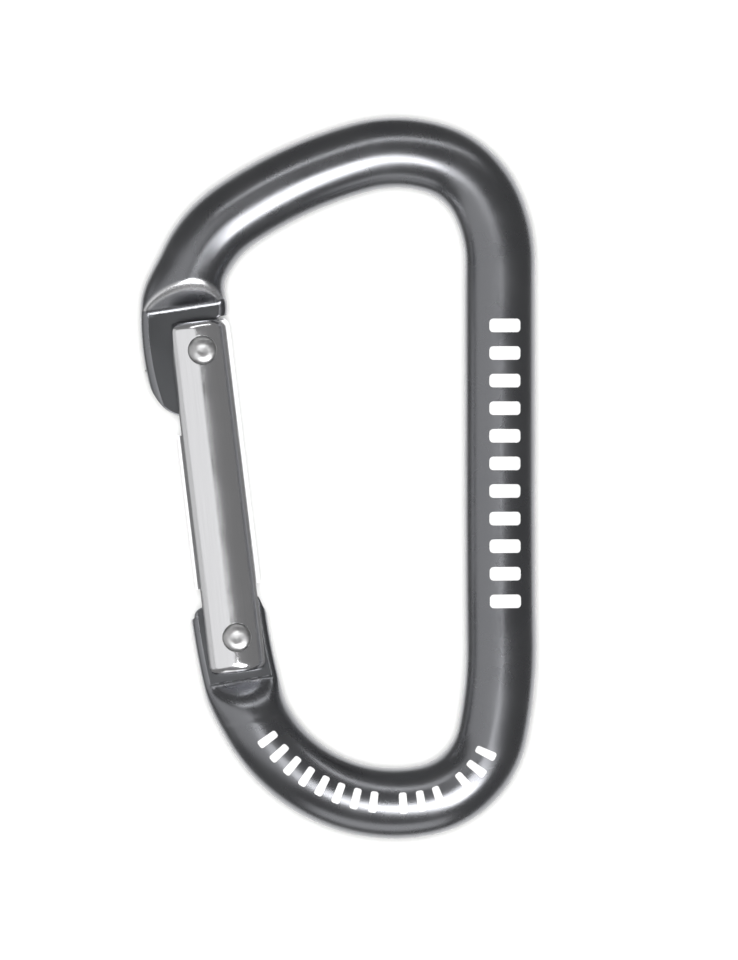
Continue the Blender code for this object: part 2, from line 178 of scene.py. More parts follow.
# How finely the pieces are divided, and how close points are before they become one.
BAR_SIDES = 80
GATE_SIDES = 96
GATE_RING_GAP = 0.8 * MM
RIVET_SIDES = 48
BORE_SIDES = 48
WIRE_SIDES = 12
SPRING_STEPS = 32
CAM_STEPS = 16
SAME_PLACE = 1e-7
SAME_HEIGHT = 1e-8
CUT_MERGE = 2e-6

BAR_R = BAR_D / 2
GATE_R = GATE_D / 2
PIN_R = PIN_D / 2
TONGUE_HALF = TONGUE_THICKNESS / 2
NOTCH_R = PIN_R + NOTCH_CLEARANCE


def middle(node):
    """The middle of a CAD node's box."""
    low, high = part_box(node)
    return (low + high) / 2


HINGE_PIN = Vector(JOINTS["gate_hinge"]["pos_m"])
GATE_UP = Vector(JOINTS["plunger_slide"]["axis"]).normalized()
GATE_IN = GATE_UP.cross(UP)
GATE_AXES = Matrix.Translation(HINGE_PIN) @ Matrix((GATE_IN, GATE_UP, UP)).transposed().to_4x4()
PIN_SPAN = (middle("latch_rivet") - HINGE_PIN).length
GATE_TOP = PIN_SPAN + GATE_PAST_LATCH
NOSE_SLOT_FOOT = PIN_SPAN - NOSE_SLOT_BELOW_PIN
INNER_EDGE = GATE_R - GATE_BACKSET - NOSE_SLOT_BACK_WALL - INNER_EDGE_GAP
TO_BORE = Matrix.Translation((-GATE_BACKSET, 0, 0)) @ Matrix.Rotation(-math.pi / 2, 4, "X")
BORE_LINE = GATE_AXES @ TO_BORE


def linear(code):
    """An sRGB hex colour as linear red, green, blue and alpha."""
    parts = [int(code[i : i + 2], 16) / 255 for i in (1, 3, 5)]
    return (*(c / 12.92 if c <= 0.04045 else ((c + 0.055) / 1.055) ** 2.4 for c in parts), 1.0)


# Mesh helpers --------------------------------------------------------------------------


def arc(centre, radius, start, end, steps):
    """Points on an arc about centre, between two angles in degrees."""
    angles = [math.radians(start + (end - start) * i / steps) for i in range(steps + 1)]
    return [(centre[0] + radius * math.cos(a), centre[1] + radius * math.sin(a)) for a in angles]


def add_prism(bm, outline, low, high, axes=GATE_AXES):
    """The outline, in the first two axes, pulled along the third from low to high."""
    face = bm.faces.new([bm.verts.new(axes @ Vector((x, y, low))) for x, y in outline])
    grown = bmesh.ops.extrude_face_region(bm, geom=[face])
    moved = [part for part in grown["geom"] if isinstance(part, bmesh.types.BMVert)]
    shift = axes.to_3x3() @ Vector((0, 0, high - low))
    bmesh.ops.translate(bm, verts=moved, vec=shift)


def add_turned(bm, profile, sides, axes):
    """A full turn of an (radius, height) profile whose two ends are on the axis."""
    points = [bm.verts.new((radius, 0, height)) for radius, height in profile]
    edges = [bm.edges.new(pair) for pair in zip(points, points[1:])]
    bmesh.ops.spin(
        bm,
        geom=points + edges,
        cent=(0, 0, 0),
        axis=(0, 0, 1),
        angle=math.tau,
        steps=sides,
        use_merge=True,
        use_duplicate=False,
    )
    bmesh.ops.transform(bm, matrix=axes, verts=bm.verts)


def tidy(bm):
    """Joins points in the same place and turns every face outwards."""
    bmesh.ops.remove_doubles(bm, verts=bm.verts, dist=SAME_PLACE)
    bmesh.ops.recalc_face_normals(bm, faces=bm.faces)


def as_object(bm, name):
    """The mesh as an object at the origin, with its faces outwards."""
    tidy(bm)
    mesh = bpy.data.meshes.new(name)
    bm.to_mesh(mesh)
    bm.free()
    made = bpy.data.objects.new(name, mesh)
    bpy.context.scene.collection.objects.link(made)
    return made


def cut(bm, name, cutters):
    """The mesh less each cutter, as a fresh bmesh. The cutters are used up."""
    solid = as_object(bm, name)
    tools = [as_object(cutter, f"cut_{number}") for number, cutter in enumerate(cutters)]
    for tool in tools:
        step = solid.modifiers.new(tool.name, "BOOLEAN")
        step.operation = "DIFFERENCE"
        step.solver = "EXACT"
        step.object = tool
    shaped = solid.evaluated_get(bpy.context.evaluated_depsgraph_get())
    result = bmesh.new()
    result.from_mesh(shaped.to_mesh())
    shaped.to_mesh_clear()
    for spare in [solid, *tools]:
        mesh = spare.data
        bpy.data.objects.remove(spare)
        bpy.data.meshes.remove(mesh)
    bmesh.ops.remove_doubles(result, verts=result.verts, dist=CUT_MERGE)
    return result


def round_edges(bm, width, segments=2, sharper_than=38, chosen=None):
    """Rounds the edges whose faces meet more sharply than the angle in degrees."""
    limit = math.radians(sharper_than)
    edges = [e for e in bm.edges if len(e.link_faces) == 2 and e.calc_face_angle(0) > limit]
    if chosen:
        edges = [e for e in edges if chosen(e)]
    bmesh.ops.bevel(
        bm,
        geom=edges,
        offset=width,
        offset_type="OFFSET",
        segments=segments,
        profile=0.5,
        affect="EDGES",
        clamp_overlap=False,
        loop_slide=True,
        material=-1,
    )
    bmesh.ops.remove_doubles(bm, verts=bm.verts, dist=CUT_MERGE)


def finish_piece(bm, name, body, material, nodes=(), sharp=35):
    """A piece that rides on a body and stands for the CAD nodes.

    Edges that turn by more than the sharp angle, in degrees, are shaded as hard edges.
    """
    made = as_object(bm, name)
    made.data.materials.append(material)
    made.data.shade_smooth()
    made.data.set_sharp_from_angle(angle=math.radians(sharp))
    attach(made, body)
    if nodes:
        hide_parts(*nodes)
    return made


def even_normals(piece):
    """Flat faces keep a flat shade right up to their rounded edges."""
    weigh = piece.modifiers.new("even_normals", "WEIGHTED_NORMAL")
    weigh.keep_sharp = True
    weigh.weight = 60


# The bar -------------------------------------------------------------------------------


def bend_line(start, heading, pieces):
    """Rings (place, heading) along straights (None, length, gap) and arcs (radius, degrees, gap)."""
    stations = [(Vector(start), heading)]
    place = Vector(start)
    for radius, extent, gap in pieces:
        if radius is None:
            forward = Vector((math.cos(heading), math.sin(heading)))
            steps = max(1, math.ceil(extent / gap))
            stations += [(place + forward * extent * i / steps, heading) for i in range(1, steps + 1)]
            place = stations[-1][0]
            continue
        turn = math.radians(extent)
        side = math.copysign(radius, turn)
        centre = place + side * Vector((-math.sin(heading), math.cos(heading)))
        steps = max(2, math.ceil(abs(turn) * radius / gap))
        for step in range(1, steps + 1):
            angle = heading + turn * step / steps
            spoke = side * Vector((math.sin(angle), -math.cos(angle)))
            stations.append((centre + spoke, angle))
        heading += turn
        place = stations[-1][0]
    return stations


SPINE_MIDDLE = (SPINE_X, MIDDLE_Y)
LEAN_RADIUS = SPINE_BELOW / math.radians(SPINE_LEAN)
UPPER = bend_line(SPINE_MIDDLE, math.radians(90), [(None, SPINE_ABOVE, 2 * MM)] + UPPER_BENDS)
LOWER = bend_line(
    SPINE_MIDDLE,
    math.radians(270),
    [(LEAN_RADIUS, SPINE_LEAN, 2 * MM)] + [(r, -angle, gap) for r, angle, gap in LOWER_BENDS],
)
NOSE_SHOULDER = UPPER[-1][0]
HINGE_SHOULDER = LOWER[-1][0]
CHORD = (NOSE_SHOULDER - HINGE_SHOULDER).normalized()
ACROSS = Vector((CHORD.y, -CHORD.x))


def half_width(run_to_end, spread):
    """Half the bar's width across the D: pressing spreads it close to its end."""
    share = min(1.0, max(0.0, 1.0 - run_to_end / SPREAD_RUN))
    return BAR_R + spread * share * share * (3 - 2 * share)


def half_bar(stations, tongue_bends, spread):
    """Rings (place, heading, half width) from the spine to the end of one tongue."""
    runs = [0.0]
    for (a, _), (b, _) in zip(stations[::-1], stations[-2::-1]):
        runs.append(runs[-1] + (a - b).length)
    rings = [(*s, half_width(run, spread)) for s, run in zip(stations, runs[::-1])]
    place, heading = stations[-1]
    tongue = bend_line(place, heading, tongue_bends)[1:]
    return rings + [(*s, BAR_R + spread) for s in tongue]


def add_bar(bm):
    """Oval rings from the nose to the hinge, bridged one to the next."""
    nose = half_bar(UPPER, NOSE_TONGUE_BENDS, NOSE_SPREAD)
    hinge = half_bar(LOWER, HINGE_TONGUE_BENDS, HINGE_SPREAD)
    rings = [(place, heading + math.pi, width) for place, heading, width in nose[:0:-1]] + hinge
    last = None
    for number, (place, heading, width) in enumerate(rings):
        turn = Matrix.Rotation(heading - math.pi / 2, 4, "Z") @ Matrix.Rotation(math.pi / 2, 4, "X")
        ring = bmesh.ops.create_circle(
            bm,
            segments=BAR_SIDES,
            radius=1,
            cap_ends=number in (0, len(rings) - 1),
            matrix=Matrix.Translation(place.to_3d()) @ turn @ Matrix.Diagonal((width, BAR_R, 1, 1)),
        )["verts"]
        edges = list(dict.fromkeys(edge for vert in ring for edge in vert.link_edges))
        if last:
            bmesh.ops.bridge_loops(bm, edges=last + edges)
        last = edges


def soft_min(a, b, reach):
    """The smaller of two heights, rounded over where they are within reach of each other."""
    share = max(0.0, reach - abs(a - b)) / reach
    return min(a, b) - share * share * reach / 4


def press_ends(bm, shoulder_round, nose_blend, hinge_blend):
    """Squeezes each end to its tongue, up a 45 degree shoulder, as the press tool does.

    The curved upper edge of the nose shoulder is marked for a painted highlight, a near white band in
    the colour.
    The hinge shoulder is smoothed, because that tool is rounder.
    """
    edge_highlight = bm.verts.layers.float.new("edge_highlight")
    for vert in bm.verts:
        for shoulder, way, far_blend in (
            (NOSE_SHOULDER, 1, nose_blend),
            (HINGE_SHOULDER, -1, hinge_blend),
        ):
            offset = vert.co.xy - shoulder
            along = way * offset.dot(CHORD)
            if abs(offset.dot(ACROSS)) > PRESS_ASIDE or not -PRESS_DOWN < along < PRESS_UP:
                continue
            height = TONGUE_HALF - soft_min(0, -along, shoulder_round)
            # Painted highlight: the nose shoulder's curved upper edge is marked for a near white band
            # in the colour.
            if way > 0 and along > HIGHLIGHT_FROM:
                vert[edge_highlight] = max(0.0, 1 - abs(abs(vert.co.z) - height) / nose_blend)
            share = min(1.0, max(0.0, along / HINGE_BLEND_RUN))
            reach = nose_blend + (far_blend - nose_blend) * share
            pressed = soft_min(abs(vert.co.z), height, reach)
            vert.co.z = math.copysign(pressed, vert.co.z)
    low, high = SOFT_RUN
    soft = [v for v in bm.verts if low < (HINGE_SHOULDER - v.co.xy).dot(CHORD) < high]
    soft = [v for v in soft if (HINGE_SHOULDER - v.co.xy).length < SOFT_REACH]
    for _ in range(SOFT_PASSES):
        bmesh.ops.smooth_vert(bm, verts=soft, factor=0.5, use_axis_z=True)
    flat = {v for v in bm.verts if abs(abs(v.co.z) - TONGUE_HALF) < SAME_HEIGHT}
    flats = [face for face in bm.faces if flat.issuperset(face.verts)]
    bmesh.ops.dissolve_faces(bm, faces=flats, use_verts=True)


def prism(outline, half=BAR_R + CUT_PAST):
    """A prism in the gate's axes that reaches as far below the middle plane as above it."""
    bm = bmesh.new()
    add_prism(bm, outline, -half, half)
    return bm


def frame_cutters():
    """The nose tip, its inner step, the notch, the cam edge and the hinge hole."""
    far = 12 * MM
    tip = (INNER_EDGE - NOSE_TIP_ROUND, PIN_SPAN - NOSE_TIP_CENTRE)
    shift = NOSE_FLANK_ROUND - NOSE_TIP_ROUND
    lean = math.radians(NOSE_FLANK_ANGLE)
    flank = (tip[0] + shift * math.cos(lean), tip[1] + shift * math.sin(lean))
    beyond_tip = arc(flank, NOSE_FLANK_ROUND, 180, 180 + NOSE_FLANK_ANGLE, 12)[:-1]
    beyond_tip += arc(tip, NOSE_TIP_ROUND, 180 + NOSE_FLANK_ANGLE, 360, 28)
    beyond_tip += [(far, tip[1]), (far, tip[1] - far), (-far, tip[1] - far), (-far, flank[1])]

    top = GATE_TOP + STEP_GAP
    corner = INNER_EDGE_GAP
    bottom = tip[1] - CUT_PAST
    step = [(INNER_EDGE, bottom)]
    step += arc((INNER_EDGE + corner, top - corner), corner, 180, 90, 6)
    step += [(far, top), (far, bottom)]

    mouth = INNER_EDGE + CUT_PAST
    lip = PIN_SPAN - NOTCH_R
    notch = [(mouth, PIN_SPAN + NOTCH_R)]
    notch += arc((0, PIN_SPAN), NOTCH_R, 90, 180, 12)
    notch += arc((0, PIN_SPAN - HOOK_DEPTH), NOTCH_R, 180, 270, 12)
    notch += [(HOOK_LENGTH, lip - HOOK_DEPTH), (HOOK_LENGTH + HOOK_DEPTH, lip), (mouth, lip)]

    left = -(BAR_R + HINGE_SPREAD + HINGE_PIN_INSET)
    round_at = (left + HINGE_TIP_CORNER, CAM_RADIUS - HINGE_TIP_CORNER)
    cam = [(-far, round_at[1])] + arc(round_at, HINGE_TIP_CORNER, 180, 90, 10)
    for number in range(CAM_STEPS + 1):
        turn = math.radians(CAM_ANGLE) * number / CAM_STEPS
        radius = CAM_RADIUS + CAM_LIFT_PER_RADIAN * turn
        cam.append((radius * math.sin(turn), radius * math.cos(turn)))
    heel = CAM_RADIUS - 2 * HINGE_TIP_CORNER
    cam += [(BAR_R, heel), (far, heel), (far, far), (-far, far)]

    hole = arc((0, 0), PIN_R + PIN_CLEARANCE, 0, 360, BORE_SIDES)[:-1]
    return [prism(outline) for outline in (beyond_tip, step, notch, cam, hole)]


def build_frame(size):
    """The bar, pressed and then punched. Its level faces take the second material, whose darker colour
    is painted shade.
    """
    bm = bmesh.new()
    add_bar(bm)
    press_ends(bm, size.shoulder_round, size.nose_blend, size.hinge_blend)
    bmesh.ops.translate(bm, verts=bm.verts, vec=(0, 0, HINGE_PIN.z))
    bm = cut(bm, "frame_blank", frame_cutters())
    round_edges(bm, size.edge_round)
    bm.normal_update()
    for face in bm.faces:
        # Faces that point straight up or down take the pressed copy, whose darker colour is painted
        # shade.
        face.material_index = int(abs(face.normal.z) > LEVEL)
    return bm


# The gate ------------------------------------------------------------------------------


def gate_cutters():
    """Both slots, the slanted ears, the bore and the rivet holes with their seats."""
    half = SLOT_WIDTH / 2
    inner = GATE_R - GATE_BACKSET - NOSE_SLOT_BACK_WALL
    far = 9 * MM
    head = GATE_TOP + CUT_PAST
    nose_slot = [(-far, NOSE_SLOT_FOOT), (inner, NOSE_SLOT_FOOT), (inner, head), (-far, head)]
    foot = -GATE_PAST_HINGE - CUT_PAST
    hinge_slot = [(-far, foot), (far, foot), (far, HINGE_SLOT_ABOVE_PIN), (-far, HINGE_SLOT_ABOVE_PIN)]
    rim = -GATE_BACKSET - math.sqrt(GATE_R**2 - half**2)
    ears = [(rim - EAR_RELIEF, NOSE_SLOT_FOOT), (rim + EAR_RELIEF, head)]
    ears += [(-far, head), (-far, NOSE_SLOT_FOOT)]
    made = [prism(nose_slot, half), prism(hinge_slot, half), prism(ears)]

    bore = bmesh.new()
    start = HINGE_SLOT_ABOVE_PIN - CUT_PAST / 2
    end = NOSE_SLOT_FOOT - BORE_END_WALL
    r = BORE_D / 2
    add_turned(bore, [(0, start), (r, start), (r, end), (0, end)], BORE_SIDES, BORE_LINE)
    made.append(bore)

    seat = RIVET_HEAD_R + SEAT_GAP
    hole = PIN_R + PIN_CLEARANCE
    high = BAR_R + CUT_PAST
    profile = [(0, -high), (seat, -high), (seat, -SPOTFACE_Z), (hole, -SPOTFACE_Z)]
    profile += [(hole, SPOTFACE_Z), (seat, SPOTFACE_Z), (seat, high), (0, high)]
    for place in (0, PIN_SPAN):
        rivet = bmesh.new()
        add_turned(rivet, profile, RIVET_SIDES, GATE_AXES @ Matrix.Translation((0, place, 0)))
        made.append(rivet)
    return made


def build_gate(size):
    """The gate's round bar with softened ends, cut and then deburred clear of the seats."""
    whole = GATE_TOP + GATE_PAST_HINGE
    quarter = arc((0, 0), 1, 0, 90, 12)
    inner, along = GATE_R - GATE_CORNER_IN, GATE_CORNER_ALONG
    high = [(inner + x * GATE_CORNER_IN, whole - along + y * along) for x, y in quarter]
    low = [(radius, whole - height) for radius, height in high[::-1]]
    rings = math.ceil(whole / GATE_RING_GAP)
    # The rings nearest the ends are left out, since the rounding is there.
    side = [(GATE_R, whole * ring / rings) for ring in range(3, rings - 2)]
    profile = [(0, 0)] + low + side + high + [(0, whole)]
    bm = bmesh.new()
    add_turned(bm, profile, GATE_SIDES, BORE_LINE @ Matrix.Translation((0, 0, -GATE_PAST_HINGE)))
    bm = cut(bm, "gate_blank", gate_cutters())
    in_gate_axes = GATE_AXES.inverted()
    clear = RIVET_HEAD_R + 0.1 * MM

    def clear_of_seats(edge):
        x, y, _ = in_gate_axes @ ((edge.verts[0].co + edge.verts[1].co) / 2)
        return all(math.hypot(x, y - place) > clear for place in (0, PIN_SPAN))

    round_edges(bm, size.edge_round, chosen=clear_of_seats)
    return bm


# Rivets, plunger and spring ------------------------------------------------------------


def rivet_profile(dimple):
    """A shank with a domed and dimpled head at both ends, bottom to top."""
    seat = SPOTFACE_Z + SEAT_GAP
    r, h = RIVET_HEAD_R, RIVET_HEAD_H
    upper = [(PIN_R, seat - 0.06 * MM), (PIN_R + 0.06 * MM, seat), (r - 0.05 * MM, seat)]
    upper += [(r, seat + 0.05 * MM)]
    dome = ((0.99, 0.3), (0.95, 0.5), (0.88, 0.68), (0.78, 0.82), (0.66, 0.92), (0.54, 0.98), (0.44, 1))
    hollow = ((0.36, 0.15), (0.28, 0.5), (0.2, 0.85), (0.1, 1), (0, 1))
    upper += [(r * out, seat + h * rise) for out, rise in dome]
    upper += [(r * out, seat + h - dimple * drop) for out, drop in hollow]
    return [(radius, -height) for radius, height in upper[::-1]] + upper


def build_rivet(size, place):
    """A rivet through the gate, at a height along it."""
    bm = bmesh.new()
    axes = GATE_AXES @ Matrix.Translation((0, place, 0))
    add_turned(bm, rivet_profile(size.dimple), RIVET_SIDES, axes)
    return bm


def build_plunger(size):
    """A short pin with a domed tip and a thin tail that centres the spring."""
    tip = 4.15 * MM
    r, dome, body, tail = size.diameter / 2, 1.0 * MM, 5.2 * MM, 2.6 * MM
    tail_r = 0.75 * MM
    ball = (r * r + dome * dome) / (2 * dome)
    half_angle = math.degrees(math.asin(r / ball))
    edge = 0.12 * MM
    rim_gap = 2
    profile = arc((0, ball), ball, -90, half_angle - 90 - rim_gap, 12)
    profile += [(r, dome + edge), (r, body - edge), (r - edge, body), (tail_r, body)]
    profile += [(tail_r, body + tail - edge), (tail_r - edge, body + tail), (0, body + tail)]
    bm = bmesh.new()
    add_turned(bm, profile, BORE_SIDES, BORE_LINE @ Matrix.Translation((0, 0, tip)))
    return bm


def build_spring(size):
    """Round wire wound along the bore from the plunger's body to the bore's end."""
    wire, turns = size.wire, size.turns
    steps = SPRING_STEPS * turns
    rise = (SPRING_TOP - SPRING_FOOT - wire) / steps
    bm = bmesh.new()
    ring = bmesh.ops.create_circle(
        bm,
        segments=WIRE_SIDES,
        radius=wire / 2,
        cap_ends=False,
        matrix=Matrix.Translation((SPRING_R, 0, wire / 2)) @ Matrix.Rotation(math.pi / 2, 4, "X"),
    )["verts"]
    edges = list(dict.fromkeys(edge for vert in ring for edge in vert.link_edges))
    bmesh.ops.spin(
        bm,
        geom=ring + edges,
        cent=(0, 0, 0),
        axis=(0, 0, 1),
        dvec=(0, 0, rise),
        angle=math.tau * turns,
        steps=steps,
        use_merge=False,
        use_duplicate=False,
    )
    bmesh.ops.holes_fill(bm, edges=[e for e in bm.edges if e.is_boundary], sides=0)
    bmesh.ops.transform(bm, matrix=BORE_LINE @ Matrix.Translation((0, 0, SPRING_FOOT)), verts=bm.verts)
    return bm


# Printed strokes -----------------------------------------------------------------------


def bar_station(run):
    """The place and heading of the bar's centreline, measured from the middle of the spine."""
    line = UPPER if run >= 0 else LOWER
    left = abs(run)
    for (a, heading_a), (b, heading_b) in zip(line, line[1:]):
        gap = (b - a).length
        if left <= gap:
            share = left / gap
            return a.lerp(b, share), heading_a + (heading_b - heading_a) * share
        left -= gap
    return line[-1]


def add_stroke(bm, run, width, low, high, thickness):
    """One round-cornered stroke of ink, laid on the top of the bar between two arc heights."""
    patch = bmesh.new()
    corner = width * 0.3
    outline = []
    for x, y, start in (
        (width / 2 - corner, high - corner, 0),
        (-width / 2 + corner, high - corner, 90),
        (-width / 2 + corner, low + corner, 180),
        (width / 2 - corner, low + corner, 270),
    ):
        outline += arc((x, y), corner, start, start + 90, 5)
    patch.faces.new([patch.verts.new((x, y, 0)) for x, y in outline])
    slices = 14
    for number in range(1, slices):
        height = low + (high - low) * number / slices
        bmesh.ops.bisect_plane(
            patch,
            geom=patch.verts[:] + patch.edges[:] + patch.faces[:],
            plane_co=(0, height, 0),
            plane_no=(0, 1, 0),
        )
    grown = bmesh.ops.extrude_face_region(patch, geom=patch.faces[:])
    raised = {part for part in grown["geom"] if isinstance(part, bmesh.types.BMVert)}
    for vert in patch.verts:
        place, heading = bar_station(run + vert.co.x)
        angle = vert.co.y / BAR_R
        outer = Vector((math.sin(heading), -math.cos(heading), 0))
        if run < 0:
            outer = -outer
        reach = BAR_R + (thickness if vert in raised else -2 * thickness)
        vert.co = place.to_3d() + reach * (outer * math.sin(angle) + UP * math.cos(angle))
        vert.co.z += HINGE_PIN.z
    mesh = bpy.data.meshes.new("stroke")
    bmesh.ops.recalc_face_normals(patch, faces=patch.faces)
    patch.to_mesh(mesh)
    patch.free()
    bm.from_mesh(mesh)
    bpy.data.meshes.remove(mesh)


def build_spine_print(size):
    """A row of equal strokes along the spine."""
    bm = bmesh.new()
    count, start, end = 11, 17.0 * MM, -13.6 * MM
    for number in range(count):
        run = start + (end - start) * number / (count - 1)
        add_stroke(bm, run, size.spine_stroke, -1.2 * MM, 2.4 * MM, size.thickness)
    return bm


def build_bend_print(size):
    """Three groups of small equal strokes round the lower bend."""
    bm = bmesh.new()
    run, step, gap = -30.6 * MM, 2.0 * MM, 1.3 * MM
    for group in (3, 3, 8):
        for _ in range(group):
            add_stroke(bm, run, size.bend_stroke, -1.2 * MM, 1.2 * MM, size.thickness)
            run -= step
        run -= gap
    return bm


# Materials -----------------------------------------------------------------------------


def add_node(tree, kind, inputs=None, **settings):
    """A node with its settings, and its inputs as values or as the sockets that feed them."""
    made = tree.nodes.new(kind)
    for name, value in settings.items():
        setattr(made, name, value)
    for name, value in (inputs or {}).items():
        if isinstance(value, bpy.types.NodeSocket):
            tree.links.new(value, made.inputs[name])
        else:
            made.inputs[name].default_value = value
    return made


def start_material(name):
    """An empty material, its node tree and its Object coordinates."""
    made = bpy.data.materials.new(name)
    made.use_nodes = True
    made.node_tree.nodes.clear()
    return made, made.node_tree, add_node(made.node_tree, "ShaderNodeTexCoord").outputs["Object"]


def end_material(tree, inputs):
    """The shader, with its inputs, and the output it feeds."""
    shader = add_node(tree, "ShaderNodeBsdfPrincipled", inputs)
    add_node(tree, "ShaderNodeOutputMaterial", {"Surface": shader.outputs["BSDF"]})


def noise(tree, place, size, detail, roughness=0.5):
    """Cloudy noise, from 0 to 1, with blotches of about one size."""
    inputs = {"Vector": place, "Scale": 1 / size, "Detail": detail, "Roughness": roughness}
    return add_node(tree, "ShaderNodeTexNoise", inputs).outputs["Fac"]


def cells(tree, place, size, feature, **inputs):
    """Distances in a pattern of uneven cells of about one size."""
    inputs = {"Vector": place, "Scale": 1 / size, **inputs}
    return add_node(tree, "ShaderNodeTexVoronoi", inputs, feature=feature).outputs["Distance"]


def blend(tree, share, low, high):
    """A colour between two others."""
    return add_node(tree, "ShaderNodeMix", {0: share, 6: low, 7: high}, data_type="RGBA").outputs[2]


def remap(tree, source, start, end, low, high, curve="LINEAR"):
    """The range from start to end, spread over the range from low to high."""
    inputs = {"Value": source, "From Min": start, "From Max": end, "To Min": low, "To Max": high}
    made = add_node(tree, "ShaderNodeMapRange", inputs, interpolation_type=curve)
    return made.outputs["Result"]


def maths(tree, operation, *inputs, use_clamp=False):
    """The result of one step of arithmetic."""
    inputs = dict(enumerate(inputs))
    made = add_node(tree, "ShaderNodeMath", inputs, operation=operation, use_clamp=use_clamp)
    return made.outputs[0]


def bump(tree, height, strength, distance, invert=False, **inputs):
    """The surface's direction, with a fine relief added to it."""
    inputs = {"Height": height, "Strength": strength, "Distance": distance, **inputs}
    return add_node(tree, "ShaderNodeBump", inputs, invert=invert).outputs["Normal"]


def stretch(tree, place, size, turn=0.0):
    """Coordinates counted in a pattern's own size along each axis."""
    inputs = {"Vector": place, "Rotation": (0, 0, turn), "Scale": [1 / side for side in size]}
    return add_node(tree, "ShaderNodeMapping", inputs).outputs["Vector"]


def along_gate(tree, place):
    """Coordinates in the gate's own axes."""
    inputs = {"Vector": place, "Rotation": GATE_AXES.to_euler(), "Location": HINGE_PIN}
    return add_node(tree, "ShaderNodeMapping", inputs, vector_type="TEXTURE").outputs["Vector"]


def anodised_aluminium(name, dark, light, highlight_colour, roughness):
    """Grey dyed and anodised aluminium, tumbled before the bath.

    The oxide gives a satin, dark metal shine with a very fine grain, a little cloudy where
    the dye took unevenly, with a painted highlight: a near white band along the curved upper edge
    of the nose shoulder. The pressed faces' copy is duller, and its darker colour is painted shade.
    """
    made, tree, place = start_material(name)
    cloud = noise(tree, place, 6 * MM, 3.0, 0.55)
    # The real grain is about 0.05 mm; it is drawn at 0.2 mm so that it shows.
    grain = noise(tree, place, 0.2 * MM, 2.0, 0.6)
    dye = blend(tree, cloud, dark, light)
    # Painted highlight: near white is mixed into the colour along the nose shoulder's curved upper
    # edge, with the grain in it.
    highlight_mask = add_node(tree, "ShaderNodeAttribute", attribute_name="edge_highlight").outputs["Fac"]
    highlight_share = maths(tree, "MULTIPLY_ADD", highlight_mask, grain, highlight_mask, use_clamp=True)
    end_material(
        tree,
        {
            "Metallic": 1.0,
            "Base Color": blend(tree, highlight_share, dye, highlight_colour),
            "Roughness": remap(tree, cloud, 0.3, 0.7, roughness - 0.04, roughness + 0.04),
            "Normal": bump(tree, grain, 0.08, 0.004 * MM),
        },
    )
    return made


def polished_aluminium(look):
    """Bare aluminium rod, polished along its length and then handled.

    Fine lines run along the gate, a few deeper scratches cross them, the shine is a little
    uneven where fingers and the nose have touched it, and small knocks catch the light
    beside the rivets.
    """
    made, tree, place = start_material("polished_aluminium_drawn")
    gate = along_gate(tree, place)
    # Polishing lines are about 0.02 mm apart; they are drawn at 0.12 mm so that they show.
    lines = noise(tree, stretch(tree, gate, (0.12 * MM, 9 * MM, 0.12 * MM)), 1.0, 3.0, 0.65)
    smudge = noise(tree, place, 4 * MM, 4.0, 0.6)
    # The scratches lean a little, and show only where the metal is most smudged.
    lean = stretch(tree, gate, (0.5 * MM, 4 * MM, 0.5 * MM), turn=0.35)
    scratch = remap(tree, cells(tree, lean, 1.0, "DISTANCE_TO_EDGE"), 0.0, 0.03, 1.0, 0.0)
    few = maths(tree, "MULTIPLY", scratch, remap(tree, smudge, 0.54, 0.66, 0.0, 1.0))
    fine = bump(tree, maths(tree, "MULTIPLY_ADD", few, -1.5, lines), 0.5, 0.006 * MM)
    # Knocks from the setting hammer, in a ring from 1.7 to 3 mm round each rivet.
    flat = add_node(tree, "ShaderNodeVectorMath", {0: gate, 1: (1, 1, 0)}, operation="MULTIPLY")
    rings = []
    for rivet in ((0, 0, 0), (0, PIN_SPAN, 0)):
        inputs = {0: flat.outputs["Vector"], 1: rivet}
        reach = add_node(tree, "ShaderNodeVectorMath", inputs, operation="DISTANCE")
        rings.append(remap(tree, reach.outputs["Value"], 1.7 * MM, 3 * MM, 1.0, 0.0))
    knock = remap(tree, cells(tree, place, 0.6 * MM, "F1"), 0.1, 0.4, 1.0, 0.0, "SMOOTHSTEP")
    knocks = maths(tree, "MULTIPLY", knock, maths(tree, "ADD", *rings))
    end_material(
        tree,
        {
            "Metallic": 1.0,
            "Base Color": blend(tree, lines, look.dark, look.light),
            "Roughness": remap(tree, smudge, 0.3, 0.7, look.roughness - 0.03, look.roughness + 0.05),
            "Normal": bump(tree, knocks, 1.0, 0.005 * MM, invert=True, Normal=fine),
        },
    )
    return made


def headed_steel(look):
    """Bright steel wire, cold headed and then set with a hammer.

    The heads are semi-bright and faintly hammered, with a mottled shine.
    """
    made, tree, place = start_material("bright_steel_cold_headed")
    hammered = cells(tree, place, 0.5 * MM, "SMOOTH_F1", Smoothness=0.8)
    mottle = noise(tree, place, 0.4 * MM, 4.0, 0.6)
    end_material(
        tree,
        {
            "Metallic": 1.0,
            "Base Color": blend(tree, mottle, look.dark, look.light),
            "Roughness": remap(tree, mottle, 0.3, 0.7, 0.3, 0.45),
            "Normal": bump(tree, hammered, 0.35, 0.02 * MM),
        },
    )
    return made


def turned_steel(look):
    """Steel rod turned on a lathe: fine rings across the plunger and an even semi-bright shine."""
    made, tree, place = start_material("steel_turned")
    inputs = {"Scale": 1 / (1.2 * MM), "Distortion": 0.6, "Detail": 2.0, "Detail Scale": 3.0}
    inputs["Vector"] = along_gate(tree, place)
    wave = add_node(tree, "ShaderNodeTexWave", inputs, wave_type="BANDS", bands_direction="Y")
    rings = wave.outputs["Fac"]
    end_material(
        tree,
        {
            "Metallic": 1.0,
            "Base Color": blend(tree, rings, look.dark, look.light),
            "Roughness": 0.28,
            "Normal": bump(tree, rings, 0.3, 0.01 * MM),
        },
    )
    return made


